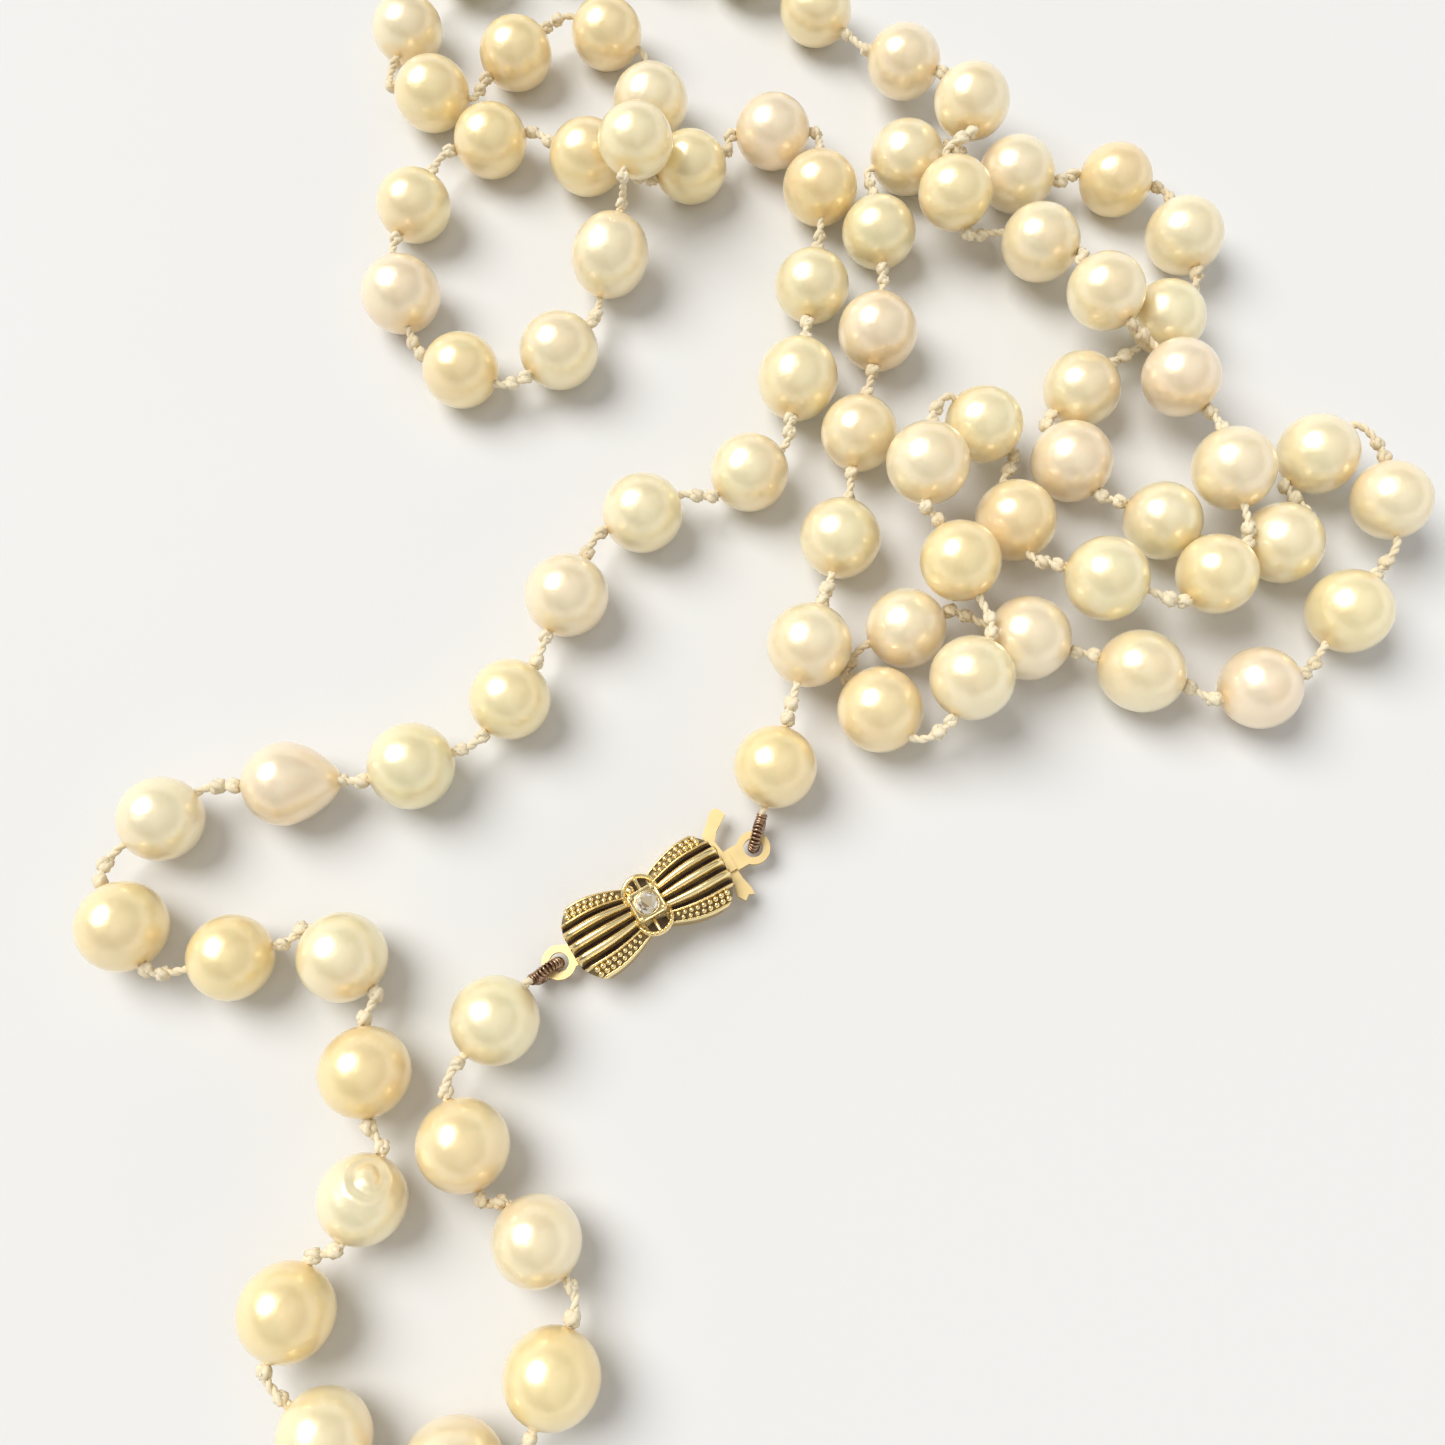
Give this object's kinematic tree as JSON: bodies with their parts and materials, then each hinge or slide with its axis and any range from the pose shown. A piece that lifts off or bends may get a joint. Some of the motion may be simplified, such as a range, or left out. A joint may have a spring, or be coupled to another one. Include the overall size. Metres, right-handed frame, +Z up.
{
  "type": "pearl necklace",
  "caption": "Long single strand of hand-knotted cultured pearls on silk, with a bow-shaped gold box clasp set with a small stone, laid in loose loops",
  "frame": {"origin": "middle of the necklace's footprint, on the table", "axes": "Z up from the table; Y along the longest side of the layout; the clasp lies near the front, 31 degrees from X"},
  "size_m": [0.1044, 0.1362, 0.0113],
  "materials": {
    "pearl": "lustrous cream nacre",
    "silk": "cream silk thread",
    "gold": "polished yellow gold, worn",
    "gimp": "fine coiled wire, tarnished",
    "stone": "small old-cut white stone"
  },
  "bodies": {
    "strand": {"tongue": "gold", "gimp_tongue_end": "gimp", "bottom_turn_pearls": "pearl", "bottom_turn_silk": "silk", "rise_pearls": "pearl", "rise_silk": "silk", "top_row_pearls": "pearl", "top_row_silk": "silk", "top_turn_pearls": "pearl", "top_turn_silk": "silk", "right_fall_pearls": "pearl", "right_fall_silk": "silk", "inner_loop_pearls": "pearl", "inner_loop_silk": "silk", "outer_loop_pearls": "pearl", "outer_loop_silk": "silk", "right_rise_pearls": "pearl", "right_rise_silk": "silk", "last_run_pearls": "pearl", "last_run_silk": "silk"},
    "clasp": {"clasp_box": "gold", "bow_cover": "gold", "stone_collet": "gold", "stone": "stone", "box_eyelet": "gold"},
    "spring_leaf": {"tongue_spring": "gold"},
    "link_6": {"link_silk_6": "silk"},
    "link_5": {"link_silk_5": "silk"},
    "link_4": {"link_silk_4": "silk"},
    "link_3": {"link_silk_3": "silk"},
    "link_2": {"link_silk_2": "silk"},
    "link_1": {"link_silk_1": "silk", "gimp_box_end": "gimp"},
    "left_loop": {"left_loop_silk": "silk"},
    "top_loop": {"top_loop_silk": "silk"},
    "far_run": {"far_run_silk": "silk", "far_run_pearls": "pearl"},
    "link_pearl_1": {"link_pearl_1": "pearl"},
    "link_pearl_2": {"link_pearl_2": "pearl"},
    "link_pearl_3": {"link_pearl_3": "pearl"},
    "link_pearl_4": {"link_pearl_4": "pearl"},
    "link_pearl_5": {"link_pearl_5": "pearl"},
    "link_pearl_6": {"link_pearl_6": "pearl"},
    "left_loop_pearl_1": {"left_loop_pearl_1": "pearl"},
    "left_loop_pearl_2": {"left_loop_pearl_2": "pearl"},
    "left_loop_pearl_3": {"left_loop_pearl_3": "pearl"},
    "left_loop_pearl_4": {"left_loop_pearl_4": "pearl"},
    "left_loop_pearl_5": {"left_loop_pearl_5": "pearl"},
    "top_loop_pearl_1": {"top_loop_pearl_1": "pearl"},
    "top_loop_pearl_2": {"top_loop_pearl_2": "pearl"},
    "top_loop_pearl_3": {"top_loop_pearl_3": "pearl"},
    "top_loop_pearl_4": {"top_loop_pearl_4": "pearl"},
    "top_loop_pearl_5": {"top_loop_pearl_5": "pearl"}
  },
  "joints": [
    {"name": "clasp_slide", "type": "slide", "parent": "strand", "child": "clasp", "axis": [-0.8572, -0.515, 0], "range_m": [0, 0.0048]},
    {"name": "clasp_press", "type": "hinge", "parent": "strand", "child": "spring_leaf", "pos_m": [-0.00842, -0.02629, 0.00187], "axis": [0.515, -0.8572, 0], "range_deg": [0, 5], "stiffness_Nm_per_rad": 0.0004, "springref_deg": 5},
    {"name": "knot_bend_6", "type": "hinge", "parent": "strand", "child": "link_6", "pos_m": [-0.03417, -0.06066, 0.00327], "axis": [0, 0, 1], "range_deg": [-8.1, 1]},
    {"name": "knot_bend_5", "type": "hinge", "parent": "link_6", "child": "link_5", "pos_m": [-0.02654, -0.06562, 0.00315], "axis": [0, 0, 1], "range_deg": [-4, 1]},
    {"name": "knot_bend_4", "type": "hinge", "parent": "link_5", "child": "link_4", "pos_m": [-0.01738, -0.06318, 0.00336], "axis": [0, 0, 1], "range_deg": [-1, 1.1]},
    {"name": "knot_bend_3", "type": "hinge", "parent": "link_4", "child": "link_3", "pos_m": [-0.01495, -0.05368, 0.00325], "axis": [0, 0, 1], "range_deg": [-1, 17.9]},
    {"name": "knot_bend_2", "type": "hinge", "parent": "link_3", "child": "link_2", "pos_m": [-0.02139, -0.04807, 0.00299], "axis": [0, 0, 1], "range_deg": [-1, 5.3]},
    {"name": "knot_bend_1", "type": "hinge", "parent": "link_2", "child": "link_1", "pos_m": [-0.02345, -0.03879, 0.00393], "axis": [0, 0, 1], "range_deg": [-1, 10.1]},
    {"name": "left_loop_lift", "type": "hinge", "parent": "strand", "child": "left_loop", "pos_m": [-0.03073, -0.02272, 0.0032], "axis": [0.6394, 0.7689, 0.0079], "range_deg": [0, 55]},
    {"name": "top_loop_lift", "type": "hinge", "parent": "strand", "child": "top_loop", "pos_m": [-0.02169, 0.03536, 0.00434], "axis": [-0.946, 0.2949, -0.1346], "range_deg": [0, 55]},
    {"name": "far_run_lift", "type": "hinge", "parent": "strand", "child": "far_run", "pos_m": [-0.01375, 0.05127, 0.0032], "axis": [0.9972, 0.0753, 0.0021], "range_deg": [0, 60]},
    {"name": "link_pearl_1_turn", "type": "hinge", "parent": "link_1", "child": "link_pearl_1", "pos_m": [-0.02107, -0.03572, 0.00325], "axis": [-0.6043, -0.7782, 0.1712], "continuous": true},
    {"name": "link_pearl_2_turn", "type": "hinge", "parent": "link_2", "child": "link_pearl_2", "pos_m": [-0.02289, -0.04437, 0.00332], "axis": [0.3737, -0.924, -0.0807], "continuous": true},
    {"name": "link_pearl_3_turn", "type": "hinge", "parent": "link_3", "child": "link_pearl_3", "pos_m": [-0.01743, -0.05074, 0.00315], "axis": [0.6424, -0.766, 0.0251], "continuous": true},
    {"name": "link_pearl_4_turn", "type": "hinge", "parent": "link_4", "child": "link_pearl_4", "pos_m": [-0.01606, -0.05938, 0.00333], "axis": [-0.327, -0.945, 0.0077], "continuous": true},
    {"name": "link_pearl_5_turn", "type": "hinge", "parent": "link_5", "child": "link_pearl_5", "pos_m": [-0.02243, -0.06484, 0.00323], "axis": [-0.9822, -0.1866, -0.0203], "continuous": true},
    {"name": "link_pearl_6_turn", "type": "hinge", "parent": "link_6", "child": "link_pearl_6", "pos_m": [-0.03108, -0.06302, 0.0032], "axis": [-0.7939, 0.6078, 0.0187], "continuous": true},
    {"name": "left_loop_pearl_1_turn", "type": "hinge", "parent": "left_loop", "child": "left_loop_pearl_1", "pos_m": [-0.04063, -0.03117, 0.00316], "axis": [-0.9644, -0.2642, 0.0103], "continuous": true},
    {"name": "left_loop_pearl_2_turn", "type": "hinge", "parent": "left_loop", "child": "left_loop_pearl_2", "pos_m": [-0.04882, -0.0289, 0.00334], "axis": [-0.5349, 0.8449, 0.0056], "continuous": true},
    {"name": "left_loop_pearl_3_turn", "type": "hinge", "parent": "left_loop", "child": "left_loop_pearl_3", "pos_m": [-0.047, -0.02071, 0.0032], "axis": [0.7762, 0.6303, -0.016], "continuous": true},
    {"name": "left_loop_pearl_4_turn", "type": "hinge", "parent": "left_loop", "child": "left_loop_pearl_4", "pos_m": [-0.0379, -0.01798, 0.00323], "axis": [0.9986, 0.0493, 0.0181], "continuous": true},
    {"name": "left_loop_pearl_5_turn", "type": "hinge", "parent": "left_loop", "child": "left_loop_pearl_5", "pos_m": [-0.02835, -0.01661, 0.00333], "axis": [0.9439, 0.33, -0.0134], "continuous": true},
    {"name": "top_loop_pearl_1_turn", "type": "hinge", "parent": "top_loop", "child": "top_loop_pearl_1", "pos_m": [-0.03153, 0.03435, 0.00321], "axis": [-0.3537, -0.9352, 0.0176], "continuous": true},
    {"name": "top_loop_pearl_2_turn", "type": "hinge", "parent": "top_loop", "child": "top_loop_pearl_2", "pos_m": [-0.03199, 0.02525, 0.00334], "axis": [0.2547, -0.9669, -0.0115], "continuous": true},
    {"name": "top_loop_pearl_3_turn", "type": "hinge", "parent": "top_loop", "child": "top_loop_pearl_3", "pos_m": [-0.02653, 0.01797, 0.00316], "axis": [0.913, -0.4076, 0.0203], "continuous": true},
    {"name": "top_loop_pearl_4_turn", "type": "hinge", "parent": "top_loop", "child": "top_loop_pearl_4", "pos_m": [-0.01834, 0.01979, 0.0033], "axis": [0.6743, 0.7331, -0.0884], "continuous": true},
    {"name": "top_loop_pearl_5_turn", "type": "hinge", "parent": "top_loop", "child": "top_loop_pearl_5", "pos_m": [-0.01424, 0.02889, 0.00373], "axis": [0.2343, 0.8782, 0.417], "continuous": true}
  ],
  "couplings": [
    {"joint": "knot_bend_6", "follows": "clasp_slide", "rad_per_m": -25.991},
    {"joint": "knot_bend_5", "follows": "clasp_slide", "rad_per_m": -10.843},
    {"joint": "knot_bend_4", "follows": "clasp_slide", "rad_per_m": 0.5264},
    {"joint": "knot_bend_3", "follows": "clasp_slide", "rad_per_m": 61.441},
    {"joint": "knot_bend_2", "follows": "clasp_slide", "rad_per_m": 15.623},
    {"joint": "knot_bend_1", "follows": "clasp_slide", "rad_per_m": 33.047}
  ]
}
